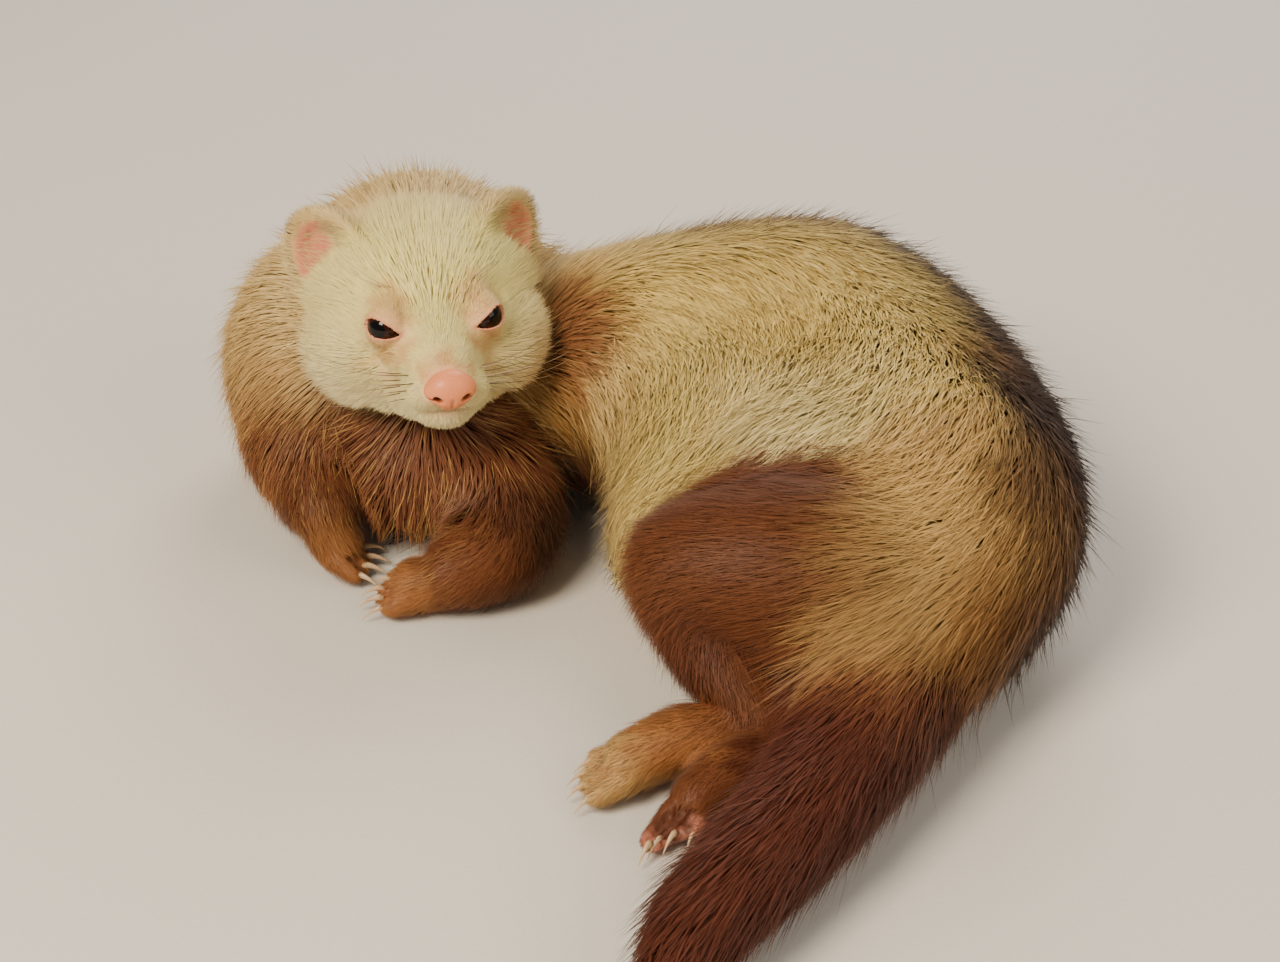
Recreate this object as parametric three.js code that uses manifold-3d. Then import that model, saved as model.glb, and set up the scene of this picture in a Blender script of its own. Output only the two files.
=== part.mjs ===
// A life-size ferret that lies curled round with its head raised, as a still museum model.
// Millimetres, +Z up. The head faces -Y, the back curls round by +X, and the animal rests on z = 0.
// Flesh and coat are smooth fields of distance, drawn as closed surfaces and parted by thin gaps.
import * as THREE from "three";
import { MarchingCubes } from "three/addons/objects/MarchingCubes.js";
import { mergeVertices } from "three/addons/utils/BufferGeometryUtils.js";
import Module from "manifold-3d";

const wasm = await Module();
wasm.setup();

// Driving dimensions: the gap between neighbours, and the spacing of vertices on each kind of surface.
const GAP = 0.3;
const SPACING = { body: 12, limb: 8, paw: 4.2, head: 4.4, jaw: 4.4, tail: 10 };
const RELAX_ROUNDS = 5;

// Places along the body, each as [x, y, z, radius out to the tips of the coat].
const NAPE = [-60, 60, 60, 30];
const HUMP = [-64, 86, 50, 43];
const SHOULDERS = [-77, 74, 37, 48];
const BRISKET = [-60, 43, 28, 31];
const UPPER_ARM_LEFT = [-42, 31, 23, 23];
const UPPER_ARM_RIGHT = [-92, 46, 26, 24];
const SCAPULA = [-66, 74, 36, 34];
const RIBS = [-24, 70, 36, 35];
const WAIST = [1, 63, 41, 40];
const LOIN = [43, 64, 43, 44];
const BACK = [56, 57, 42, 43.5];
const BEND = [68, 28, 41, 43];
const CROUP = [74, -3, 41, 43];
const PELVIS = [76, -23, 41, 41];
const RUMP = [69, -40, 34, 38];
const TAIL_BASE = [59, -61, 27, 30];
const TAIL_ROOT = [55, -81, 23, 25];
const FLANK = [25, 20, 37, 37];
const BELLY = [16, -14, 31, 28];

const TAIL = [
  TAIL_BASE,
  TAIL_ROOT,
  [45, -103, 21, 22],
  [30, -127, 19, 20],
  [18, -142, 17, 18.5],
  [9, -157, 14, 15],
  [4, -171, 11, 8],
  [2, -179, 9, 3],
];

// The head in its own frame: +Y to the nose, +X to the animal's right, +Z up.
const HEAD_AT = [-57.3, 31.6, 72.4];
const HEAD_YAW = -166.5;
const EYE = {
  at: [13.4, 14, 5.8],
  radius: 4.3,
  facing: [0.66, 0.72, 0.22],
  hollow: [6, 6, 5],
  hollowForward: 6.5,
};
const LID = { halfWidth: 5, halfHeight: 3.3, thickness: 1.1, forward: 2.4 };
const NOSE = { at: [0, 35.2, -3.6], radii: [6.3, 4.4, 4.9] };
const NOSTRIL = { at: [3.3, 38.6, -4.2], radii: [1.3, 2.4, 1.1] };
const EAR = {
  at: [24.2, -13, 14],
  radii: [11.6, 4.6, 13],
  cup: [9.2, 4.4, 10.4],
  cupForward: 3.1,
  turn: [0.1, 0.35, 0.62],
};

// Claws, each as a length and a radius at the root.
const FORE_CLAW = [6, 1.3];
const HIND_CLAW = [4.5, 1.2];

const clamp = THREE.MathUtils.clamp;
const vector = (place) => new THREE.Vector3(...place.slice(0, 3));

// Signed distances, negative inside
function ellipsoid([cx, cy, cz], [rx, ry, rz]) {
  return (x, y, z) => {
    const unit = Math.hypot((x - cx) / rx, (y - cy) / ry, (z - cz) / rz);
    const slope = Math.hypot((x - cx) / (rx * rx), (y - cy) / (ry * ry), (z - cz) / (rz * rz));
    return slope > 0 ? (unit * (unit - 1)) / slope : -Math.min(rx, ry, rz);
  };
}

const ball = ([x, y, z, radius]) => ellipsoid([x, y, z], [radius, radius, radius]);

function cone([ax, ay, az, ar], [bx, by, bz, br]) {
  const [dx, dy, dz] = [bx - ax, by - ay, bz - az];
  const square = dx * dx + dy * dy + dz * dz;
  return (x, y, z) => {
    const t = clamp(((x - ax) * dx + (y - ay) * dy + (z - az) * dz) / square, 0, 1);
    return Math.hypot(x - ax - t * dx, y - ay - t * dy, z - az - t * dz) - ar - t * (br - ar);
  };
}

// A round tube of varying radius along a smooth curve through its stations.
function tube(stations, stepsPerSpan = 4) {
  const steps = (stations.length - 1) * stepsPerSpan;
  const path = new THREE.CatmullRomCurve3(stations.map(vector));
  const girth = new THREE.CatmullRomCurve3(stations.map(([, , , r], i) => new THREE.Vector3(i, r, 0)));
  const beads = [];
  for (let i = 0; i <= steps; i++) {
    const { x, y, z } = path.getPoint(i / steps);
    beads.push([x, y, z, girth.getPoint(i / steps).y]);
  }
  const spans = beads.slice(1).map((bead, i) => cone(beads[i], bead));
  return (x, y, z) => spans.reduce((least, span) => Math.min(least, span(x, y, z)), Infinity);
}

function blend(width, ...fields) {
  return (x, y, z) =>
    fields
      .map((field) => field(x, y, z))
      .reduce((a, b) => {
        const near = Math.max(width - Math.abs(a - b), 0) / width;
        return Math.min(a, b) - (near * near * width) / 4;
      });
}

const without = (field, hole) => (x, y, z) => Math.max(field(x, y, z), -hole(x, y, z));

// Geometry stripped to its places, with the vertices that share a place made one.
function joined(geometry) {
  const bare = geometry.clone();
  for (const name of Object.keys(bare.attributes)) if (name !== "position") bare.deleteAttribute(name);
  return mergeVertices(bare, 1e-3);
}

// A closed surface where the field is zero, inside a cube of half-size reach, with evened-out vertices.
function surface(field, centre, reach, spacing) {
  const steps = Math.ceil((2 * reach) / spacing) + 3;
  const at = (step, axis) => centre[axis] + (step - steps / 2) * spacing;
  const marcher = new MarchingCubes(steps, new THREE.MeshStandardMaterial(), false, false, 40000);
  marcher.isolation = 0;
  for (let k = 0; k < steps; k++)
    for (let j = 0; j < steps; j++)
      for (let i = 0; i < steps; i++) {
        const depth = -field(at(i, 0), at(j, 1), at(k, 2));
        const edge = Math.min(i, j, k) < 1 || Math.max(i, j, k) > steps - 2;
        if (edge && depth > 0) throw new Error(`a form reaches past its cube at ${centre}`);
        marcher.setCell(i, j, k, Math.sign(depth || 1) * Math.max(Math.abs(depth), 0.08 * spacing));
      }
  marcher.update();
  const drawn = new THREE.BufferGeometry();
  const places = marcher.positionArray.slice(0, 3 * marcher.count);
  drawn.setAttribute("position", new THREE.BufferAttribute(places, 3));
  const half = (steps * spacing) / 2;
  const merged = joined(drawn.scale(half, half, half).translate(...centre));
  relax(merged, field, spacing);
  return merged;
}

// Each vertex drifts to the middle of its neighbours and is set back on the surface.
function relax(geometry, field, spacing) {
  const { position } = geometry.attributes;
  const index = geometry.index.array;
  const neighbours = Array.from({ length: position.count }, () => new Set());
  for (let i = 0; i < index.length; i += 3)
    for (let e = 0; e < 3; e++) neighbours[index[i + e]].add(index[i + ((e + 1) % 3)]);
  const probe = 0.05 * spacing;
  const slope = (p) =>
    new THREE.Vector3(
      field(p.x + probe, p.y, p.z) - field(p.x - probe, p.y, p.z),
      field(p.x, p.y + probe, p.z) - field(p.x, p.y - probe, p.z),
      field(p.x, p.y, p.z + probe) - field(p.x, p.y, p.z - probe),
    ).multiplyScalar(0.5 / probe);
  for (let round = 0; round < RELAX_ROUNDS; round++) {
    const placed = neighbours.map((_, i) => new THREE.Vector3().fromBufferAttribute(position, i));
    neighbours.forEach((near, i) => {
      const mean = new THREE.Vector3();
      near.forEach((j) => mean.add(placed[j]));
      const p = placed[i].clone().lerp(mean.divideScalar(near.size), 0.6);
      for (let pull = 0; pull < 3; pull++) {
        const normal = slope(p);
        const away = field(p.x, p.y, p.z) / Math.max(normal.length(), 0.3);
        p.addScaledVector(normal.normalize(), -clamp(away, -0.3 * spacing, 0.3 * spacing));
      }
      position.setXYZ(i, p.x, p.y, p.z);
    });
  }
}

// A closed, bent, tapering bar with an oval section and a point at its end, for a claw.
// Each stop is [place, half-width, half-thickness], and across is the direction of the width.
function bar(stops, across, sides) {
  const spots = stops.map(([place]) => vector(place));
  const corners = [];
  stops.slice(0, -1).forEach(([, width, thickness], i) => {
    const along = spots[i + 1].clone().sub(spots[Math.max(i - 1, 0)]).normalize();
    const wide = across.clone().addScaledVector(along, -across.dot(along)).normalize();
    const up = along.clone().cross(wide);
    for (let s = 0; s < sides; s++) {
      const turn = (2 * Math.PI * s) / sides;
      const corner = spots[i].clone().addScaledVector(wide, width * Math.cos(turn));
      corners.push(corner.addScaledVector(up, thickness * Math.sin(turn)));
    }
  });
  const rings = stops.length - 1;
  const faces = [];
  for (let s = 0; s < sides; s++) {
    const next = (s + 1) % sides;
    for (let i = 0; i < rings - 1; i++) {
      const [a, b] = [i * sides + s, i * sides + next];
      faces.push(a, b, b + sides, a, b + sides, a + sides);
    }
    faces.push((rings - 1) * sides + s, (rings - 1) * sides + next, rings * sides);
    if (s > 0 && s < sides - 1) faces.push(0, next, s);
  }
  return new THREE.BufferGeometry().setFromPoints([...corners, spots[rings]]).setIndex(faces);
}

// Every vertex moved out along its normal, which clears a constant gap round a smooth piece.
function swollen(geometry, by = GAP) {
  const grown = joined(geometry);
  grown.computeVertexNormals();
  const { position, normal } = grown.attributes;
  for (let i = 0; i < position.count; i++)
    position.setXYZ(
      i,
      position.getX(i) + by * normal.getX(i),
      position.getY(i) + by * normal.getY(i),
      position.getZ(i) + by * normal.getZ(i),
    );
  return grown;
}

function solid(geometry) {
  const merged = joined(geometry);
  const made = new wasm.Manifold(
    new wasm.Mesh({
      numProp: 3,
      vertProperties: merged.attributes.position.array,
      triVerts: new Uint32Array(merged.index.array),
    }),
  );
  if (made.volume() < 0) throw new Error("a surface faces inwards");
  return made;
}

const largest = (made) => made.decompose().reduce((a, b) => (b.volume() > a.volume() ? b : a));

// The half of space that a plane's normal points into, as a large box set back by half the gap.
const FAR = 600;
function beyond([point, normal], offset = GAP / 2) {
  const box = new THREE.BoxGeometry(FAR, FAR, FAR).translate(0, 0, FAR / 2 + offset);
  const turn = new THREE.Quaternion().setFromUnitVectors(
    new THREE.Vector3(0, 0, 1),
    new THREE.Vector3(...normal).normalize(),
  );
  return solid(box.applyQuaternion(turn).translate(...point));
}

const short = ([point, normal], offset) => beyond([point, normal.map((v) => -v)], offset);

const headMatrix = new THREE.Matrix4()
  .makeRotationZ(THREE.MathUtils.degToRad(HEAD_YAW))
  .premultiply(new THREE.Matrix4().makeTranslation(...HEAD_AT));

// Planes that part the animal into lengths, each as a point and a normal toward the tail.
const FLOOR = [[0, 0, 0], [0, 0, 1]];
const HEAD_CUT = [
  vector([0, -19, 2]).applyMatrix4(headMatrix).toArray(),
  new THREE.Vector3(0, -1, 0).transformDirection(headMatrix).toArray(),
];
const NECK_CUT = [[-60, 60, 60], [0, 0.15, -1]];
const RIB_CUT = [[-14, 0, 0], [1, 0, 0]];
const LOIN_CUT = [[30, 0, 0], [1, 0.1, 0]];
const RUMP_CUT = [[50, 4, 0], [0, -1, 0]];
const TAIL_CUT = [[56, -71, 25], [-0.3, -0.95, -0.1]];
const TAIL_MIDDLE_CUT = [[33, -115, 20], [-0.55, -0.83, -0.1]];
const TAIL_TIP_CUT = [[11, -147, 16], [-0.5, -0.85, -0.15]];

// Fields of the body
const frontField = blend(
  10,
  tube([[...HEAD_AT, 24], NAPE, HUMP]),
  ball(HUMP),
  ball(SHOULDERS),
  ball(BRISKET),
  ball(UPPER_ARM_LEFT),
  ball(UPPER_ARM_RIGHT),
  tube([SCAPULA, RIBS, WAIST]),
);
const rearField = blend(
  14,
  tube([SCAPULA, RIBS, WAIST, LOIN, BACK, BEND, CROUP, PELVIS, RUMP, TAIL_BASE, TAIL_ROOT]),
  ball(FLANK),
  ball(BELLY),
);
const tailField = tube(TAIL);

// Fields of the limbs: the left hind leg lies on top of the right one
const THIGH = [
  [60, -48, 42, 31],
  [44, -49, 43, 28],
  [29, -48, 44, 23.5],
  [14, -44, 43, 18],
  [8, -40, 43, 13],
];
const SHANK_LEFT = [
  [12, -44, 38, 17],
  [20, -60, 26, 14],
  [30, -71, 17, 10],
];
const SHANK_RIGHT = [
  [52, -56, 18, 13],
  [40, -72, 12, 11],
];
const FORELEG_LEFT = [
  [-36, 22, 20, 18],
  [-38, 7, 16, 15],
  [-47, 0, 13, 12.5],
];
const FORELEG_RIGHT = [
  [-92, 44, 28, 19],
  [-91, 34, 25, 15],
  [-89, 24, 20, 12],
];

// Each foot is a sole along its stations, with toes fanned out from their middle.
const TOE_PLACES = [-1.5, -0.5, 0.5, 1.5];
const FEET = {
  forepaw_left: {
    sole: [[-48, -2, 11.5, 9.5], [-60, -1.5, 8.5, 8.5]],
    toes: TOE_PLACES.map((k) => [
      [-61, -1.5 + 3 * k, 7, 4.6],
      [-68.5 + 0.8 * k * k, -0.5 + 4.3 * k, 5, 4],
    ]),
    claw: FORE_CLAW,
  },
  forepaw_right: {
    sole: [[-88, 21, 17, 9], [-84, 18, 9, 8]],
    toes: TOE_PLACES.map((k) => [
      [-84, 17 + 3 * k, 7.5, 4.2],
      [-78 - 0.6 * k * k, 17 + 4.4 * k, 4.6, 3.6],
    ]),
    claw: FORE_CLAW,
  },
  hindfoot_left: {
    sole: [[32, -70, 14, 9], [12, -77, 12.5, 9.5], [-1, -82, 9.5, 8.5]],
    toes: TOE_PLACES.map((k) => [
      [-2, -82 + 3.6 * k, 8, 4.6],
      [-11.5 + 0.8 * k * k, -84 + 4.6 * k, 5.5, 4],
    ]),
    claw: HIND_CLAW,
  },
  hindfoot_right: {
    sole: [[40, -80, 11, 9], [24, -87, 10, 9], [14, -96, 8.5, 7.5]],
    toes: TOE_PLACES.map((k) => [
      [13 - 3 * k, -97 - 1.5 * k, 7, 4.2],
      [7 - 3.6 * k + 0.6 * k * k, -105 - 2 * k, 5, 3.6],
    ]),
    claw: HIND_CLAW,
  },
};

// Fields of the head
const skullForm = blend(
  8,
  ellipsoid([0, -13, 3], [32, 27, 22]),
  ellipsoid([15, -2, -8], [18, 21, 17]),
  ellipsoid([-15, -2, -8], [18, 21, 17]),
  tube([[0, 6, -2, 17], [0, 18, -4, 12.5], [0, 26.5, -4, 8.2]]),
  ...[-1, 1].flatMap((sign) => [
    ellipsoid([9 * sign, 5, 8], [8, 8, 6.5]),
    ellipsoid([5.2 * sign, 26, -7], [7.5, 8, 6]),
  ]),
);
const skullField = [-1, 1].reduce((form, sign) => {
  const [x, y, z] = EYE.at.map((v, i) => v + EYE.hollowForward * EYE.facing[i]);
  return without(form, ellipsoid([sign * x, y, z], EYE.hollow));
}, skullForm);
const jawField = blend(
  5,
  tube([[0, 2, -15, 10], [0, 13, -14.5, 9]]),
  ellipsoid([0, 20, -12.6], [11, 12, 6.2]),
);

// A claw from the last point of a toe, curving down to the floor.
function claw([start, end], [length, radius]) {
  const [from, to] = [start, end].map(vector);
  const along = to.clone().sub(from).setZ(0).normalize();
  const root = to.clone().addScaledVector(along, 0.4 * end[3]);
  const middle = root.clone().addScaledVector(along, 0.55 * length);
  const tip = root.clone().addScaledVector(along, length).setZ(radius);
  const across = new THREE.Vector3(along.y, -along.x, 0);
  const stops = [
    [root.toArray(), radius, 1.2 * radius],
    [middle.toArray(), 0.8 * radius, radius],
    [tip.toArray()],
  ];
  return bar(stops, across, 5);
}

// Colours and roughness of the coat and skin
const LOOKS = {
  coat_face: { color: 0xe3d8bb, roughness: 0.85 },
  coat_cream: { color: 0xd9c48f, roughness: 0.88 },
  coat_ruff: { color: 0xb98a4e, roughness: 0.88 },
  coat_brown: { color: 0x6e3a1c, roughness: 0.88 },
  coat_dark: { color: 0x4c2513, roughness: 0.88 },
  ear_skin: { color: 0xd9a184, roughness: 0.75 },
  eye: { color: 0x160c08, roughness: 0.08 },
  nose: { color: 0xd98c78, roughness: 0.4 },
};

// The pieces, in the order in which each keeps its shape where two meet
const pieces = [];
function piece(name, look, geometry, { add = [], hollow = [], within = [] } = {}) {
  let made = solid(geometry);
  for (const extra of add) made = made.add(solid(extra));
  for (const hole of hollow) made = made.subtract(solid(hole));
  let room = solid(swollen(geometry));
  for (const [side, plane] of within) {
    made = made.intersect(side(plane));
    room = room.intersect(side(plane, -GAP / 2));
  }
  pieces.push({ name, look, made, room });
}

const HANDS = [["left", -1], ["right", 1]];
const onHead = (geometry) => joined(geometry).applyMatrix4(headMatrix);
const lump = ([x, y, z], radii, detail) =>
  joined(new THREE.IcosahedronGeometry(1, detail)).scale(...radii).translate(x, y, z);

// Turns a form's own +Z to the outward direction, and keeps its +X level.
function facing([x, y, z]) {
  const outward = new THREE.Vector3(x, y, z).normalize();
  const level = new THREE.Vector3(0, 0, 1).cross(outward).normalize();
  return new THREE.Matrix4().makeBasis(level, outward.clone().cross(level), outward);
}

const lids = [];
for (const [hand, sign] of HANDS) {
  const [x, y, z] = EYE.at;
  piece(`eye_${hand}`, "eye", onHead(lump([sign * x, y, z], Array(3).fill(EYE.radius), 2)));
  const outward = [sign * EYE.facing[0], EYE.facing[1], EYE.facing[2]];
  const lid = new THREE.TorusGeometry(1, 0.25, 5, 16)
    .scale(LID.halfWidth, LID.halfHeight, 4 * LID.thickness)
    .translate(0, 0, LID.forward)
    .applyMatrix4(facing(outward))
    .translate(sign * x, y, z);
  lids.push(onHead(lid));
}

const nostrils = HANDS.map(([, sign]) => {
  const [x, y, z] = NOSTRIL.at;
  return onHead(lump([sign * x, y, z], NOSTRIL.radii, 1));
});
piece("nose", "nose", onHead(lump(NOSE.at, NOSE.radii, 2)), { hollow: nostrils });

const headShape = surface(skullField, [0, -2, 0], 44, SPACING.head).applyMatrix4(headMatrix);
piece("head", "coat_face", headShape, { add: lids, within: [[short, HEAD_CUT]] });
const jawShape = surface(jawField, [0, 12, -16], 22, SPACING.jaw).applyMatrix4(headMatrix);
piece("lower_jaw", "coat_face", jawShape);
for (const [hand, sign] of HANDS) {
  const [x, y, z] = EAR.at;
  const [pitch, roll, yaw] = EAR.turn;
  const angles = new THREE.Euler(pitch, sign * roll, -sign * yaw, "ZYX");
  const turn = new THREE.Matrix4().makeRotationFromEuler(angles);
  const placed = (form) => onHead(form.applyMatrix4(turn).translate(sign * x, y, z));
  const cup = placed(lump([0, EAR.cupForward, 0.5], EAR.cup, 2));
  piece(`ear_${hand}`, "ear_skin", placed(lump([0, 0, 0], EAR.radii, 2)), { hollow: [cup] });
}

for (const [name, { sole, toes, claw: size }] of Object.entries(FEET)) {
  const field = blend(3.5, tube(sole, 2), ...toes.map((toe) => tube(toe, 1)));
  const middle = sole[sole.length - 1];
  const centre = vector(sole[0]).lerp(vector(toes[1][1]), 0.5).toArray();
  const reach = vector(sole[0]).distanceTo(vector(toes[1][1])) / 2 + middle[3] + 4;
  const claws = toes.map((toe) => claw(toe, size));
  piece(name, "coat_brown", surface(field, centre, reach, SPACING.paw), { add: claws });
}

piece("foreleg_left", "coat_brown", surface(tube(FORELEG_LEFT), [-38, 12, 18], 36, SPACING.limb));
piece("foreleg_right", "coat_brown", surface(tube(FORELEG_RIGHT), [-92, 32, 22], 34, SPACING.limb));
const hindlegField = blend(10, tube(THIGH), tube(SHANK_LEFT));
piece("hindleg_left", "coat_brown", surface(hindlegField, [40, -44, 40], 56, SPACING.limb));
piece("hindleg_right", "coat_brown", surface(tube(SHANK_RIGHT), [46, -64, 15], 26, SPACING.limb));

const frontShape = surface(frontField, [-44, 60, 46], 92, SPACING.body);
piece("neck", "coat_cream", frontShape, { within: [[short, NECK_CUT], [short, RIB_CUT]] });
piece("chest", "coat_ruff", frontShape, { within: [[beyond, NECK_CUT], [short, RIB_CUT]] });
const rearShape = surface(rearField, [0, 10, 40], 140, SPACING.body);
piece("ribs", "coat_cream", rearShape, { within: [[beyond, RIB_CUT], [short, LOIN_CUT]] });
piece("loin", "coat_cream", rearShape, { within: [[beyond, LOIN_CUT], [short, RUMP_CUT]] });
const rumpCuts = [[beyond, LOIN_CUT], [beyond, RUMP_CUT], [short, TAIL_CUT]];
piece("rump", "coat_brown", rearShape, { within: rumpCuts });
const tailShape = surface(tailField, [38, -106, 26], 86, SPACING.tail);
piece("tail_root", "coat_dark", tailShape, { within: [[beyond, TAIL_CUT], [short, TAIL_MIDDLE_CUT]] });
piece("tail_middle", "coat_dark", tailShape, { within: [[beyond, TAIL_MIDDLE_CUT], [short, TAIL_TIP_CUT]] });
piece("tail_tip", "coat_dark", tailShape, { within: [[beyond, TAIL_TIP_CUT]] });

const model = new THREE.Group();
model.name = "ferret";
pieces.forEach(({ name, look, made }, i) => {
  let kept = made.intersect(beyond(FLOOR, 0));
  for (const earlier of pieces.slice(0, i)) kept = kept.subtract(earlier.room);
  const { vertProperties, triVerts } = largest(kept).getMesh();
  const places = new Float32Array(vertProperties);
  const geometry = new THREE.BufferGeometry()
    .setAttribute("position", new THREE.BufferAttribute(places, 3))
    .setIndex(new THREE.BufferAttribute(triVerts, 1));
  const material = new THREE.MeshStandardMaterial({ ...LOOKS[look], metalness: 0 });
  const mesh = new THREE.Mesh(geometry, material);
  mesh.name = name;
  model.add(mesh);
});

// The origin is the middle of the floor under the animal.
const extent = new THREE.Box3().setFromObject(model);
const middle = extent.getCenter(new THREE.Vector3());
model.position.set(-middle.x, -middle.y, -extent.min.z);

export default model;
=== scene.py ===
import math

import bpy
import numpy as np
from mathutils import Matrix, Vector
from mathutils.bvhtree import BVHTree
from mathutils.kdtree import KDTree


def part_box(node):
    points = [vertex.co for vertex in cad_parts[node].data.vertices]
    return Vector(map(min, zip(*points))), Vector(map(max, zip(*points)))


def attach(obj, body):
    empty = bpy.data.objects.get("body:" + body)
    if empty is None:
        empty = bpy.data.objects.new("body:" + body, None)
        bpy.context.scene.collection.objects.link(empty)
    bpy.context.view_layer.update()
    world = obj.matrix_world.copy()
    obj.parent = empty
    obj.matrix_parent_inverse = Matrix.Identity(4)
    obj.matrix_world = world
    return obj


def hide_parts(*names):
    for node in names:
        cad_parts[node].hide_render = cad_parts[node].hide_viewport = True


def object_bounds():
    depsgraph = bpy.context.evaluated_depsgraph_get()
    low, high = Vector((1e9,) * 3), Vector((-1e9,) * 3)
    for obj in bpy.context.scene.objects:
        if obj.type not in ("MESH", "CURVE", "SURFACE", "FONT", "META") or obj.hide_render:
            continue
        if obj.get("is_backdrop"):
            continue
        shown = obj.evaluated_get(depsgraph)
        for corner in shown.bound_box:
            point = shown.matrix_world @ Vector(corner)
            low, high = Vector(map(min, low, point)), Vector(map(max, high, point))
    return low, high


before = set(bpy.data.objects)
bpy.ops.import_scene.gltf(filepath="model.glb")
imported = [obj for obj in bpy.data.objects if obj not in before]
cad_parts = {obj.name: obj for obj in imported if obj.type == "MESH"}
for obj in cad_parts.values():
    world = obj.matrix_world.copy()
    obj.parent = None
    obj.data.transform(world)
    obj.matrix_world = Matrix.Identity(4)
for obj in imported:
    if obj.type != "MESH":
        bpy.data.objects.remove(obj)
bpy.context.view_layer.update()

# The animal's measures are in millimetres in its own frame, with the nose toward -Y and the floor at 0.
# The eyes of the frame show where that frame lies in the scene, and the head's own frame has +Y to the
# nose, +X to the animal's right and +Z up.
MM = 0.001
HEAD = Matrix.Translation((-57.3, 31.6, 72.4)) @ Matrix.Rotation(math.radians(-166.5), 4, "Z")
EYE_AT = Vector((13.4, 14, 5.8))
eye_low, eye_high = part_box("eye_right")
shift = (eye_low + eye_high) / (2 * MM) - HEAD @ EYE_AT
HANDS = {"left": -1, "right": 1}


def placed(points):
    return (np.asarray(points, float) + np.array(shift)) * MM


def from_head(points):
    turn = np.array(HEAD.to_3x3())
    return np.asarray(points, float) @ turn.T + np.array(HEAD.translation)


def to_head(points):
    turn = np.array(HEAD.to_3x3())
    return (np.asarray(points, float) - np.array(HEAD.translation)) @ turn


# The camera looks down on the animal from the front, about half a metre off.
# Its angle and focal length are the photograph's.
PHOTO_WIDTH = 1280
FOCAL_PIXELS = 2450
SENSOR = 36
camera_data = bpy.data.cameras.new("camera")
camera_data.sensor_width = SENSOR
camera_data.lens = FOCAL_PIXELS * SENSOR / PHOTO_WIDTH
camera = bpy.data.objects.new("camera", camera_data)
camera.location = placed((0, -562.9, 365))
camera.rotation_euler = (math.radians(60), 0, 0)
bpy.context.scene.collection.objects.link(camera)
bpy.context.scene.camera = camera


# The floor is a plain pale sheet of studio paper with a faint tooth. The animal lies on it and isn't
# fixed to it.
def colour(code):
    channels = [int(code[i : i + 2], 16) / 255 for i in (0, 2, 4)]
    return [c / 12.92 if c < 0.04045 else ((c + 0.055) / 1.055) ** 2.4 for c in channels] + [1]


def new_material(name):
    material = bpy.data.materials.new(name)
    material.use_nodes = True
    return material, material.node_tree.nodes, material.node_tree.links


bpy.ops.object.select_all(action="DESELECT")
bpy.ops.mesh.primitive_plane_add(size=8)
floor = bpy.context.object
floor.name = "studio_floor"
paper, nodes, links = new_material("studio paper")
shader = nodes["Principled BSDF"]
coordinates = nodes.new("ShaderNodeTexCoord")
tooth = nodes.new("ShaderNodeTexNoise")
tooth.inputs["Scale"].default_value = 900
shade = nodes.new("ShaderNodeMix")
shade.data_type = "RGBA"
shade.inputs["A"].default_value = colour("d9d6d0")
shade.inputs["B"].default_value = colour("e4e1dc")
links.new(coordinates.outputs["Object"], tooth.inputs["Vector"])
links.new(tooth.outputs["Fac"], shade.inputs["Factor"])
links.new(shade.outputs["Result"], shader.inputs["Base Color"])
shader.inputs["Roughness"].default_value = 0.9
floor.data.materials.append(paper)
floor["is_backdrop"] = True


# A large softbox stands high on the left, with a weaker one on the right and a low even light all round.
def softbox(name, at, aim, size, power, tint):
    lamp = bpy.data.lights.new(name, "AREA")
    lamp.size = size
    lamp.energy = power
    lamp.color = colour(tint)[:3]
    holder = bpy.data.objects.new(name, lamp)
    holder.location = at
    holder.rotation_euler = (Vector(at) - Vector(aim)).to_track_quat("Z", "Y").to_euler()
    bpy.context.scene.collection.objects.link(holder)


softbox("key_softbox", (-0.55, -0.75, 0.95), (0, 0, 0.04), 0.5, 22.5, "ffecd0")
softbox("fill_softbox", (0.9, -0.5, 0.7), (0, 0, 0.04), 0.8, 5, "fff2e0")
softbox("back_softbox", (0.2, 0.9, 0.8), (0, 0, 0.05), 0.6, 7, "fff6ea")
world = bpy.data.worlds.new("studio")
world.use_nodes = True
background = world.node_tree.nodes["Background"]
background.inputs["Color"].default_value = colour("efe7da")
background.inputs["Strength"].default_value = 0.36
bpy.context.scene.world = world

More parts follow.
